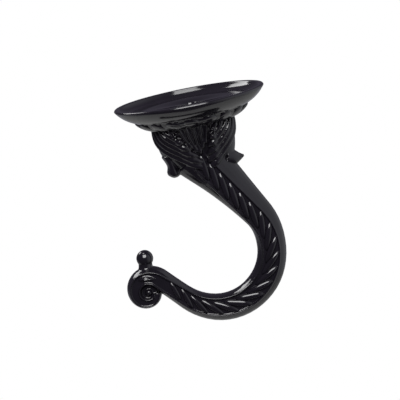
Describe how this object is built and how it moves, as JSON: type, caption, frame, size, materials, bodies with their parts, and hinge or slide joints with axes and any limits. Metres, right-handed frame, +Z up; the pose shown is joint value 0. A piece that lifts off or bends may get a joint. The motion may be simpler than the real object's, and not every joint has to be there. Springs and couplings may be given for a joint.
{
  "type": "ceiling hook",
  "caption": "Decorative cast ceiling hook: a round ceiling dish, a leaf calyx and a carved, scroll-tipped hook to hang a plant or lamp chain from.",
  "frame": {"origin": "centre of the dish's rim plane, above the tapped hole, where the fixing screw leaves the ceiling", "axes": "+Z up along the tapped hole, into the ceiling; the hook hangs towards -Z in the XZ plane and its tip points to -X"},
  "size_m": [0.0438, 0.038, 0.058],
  "materials": {
    "black_enamel": "glossy black enamel over die-cast zinc"
  },
  "bodies": {
    "root": {"hook_casting": "black_enamel"}
  },
  "joints": []
}
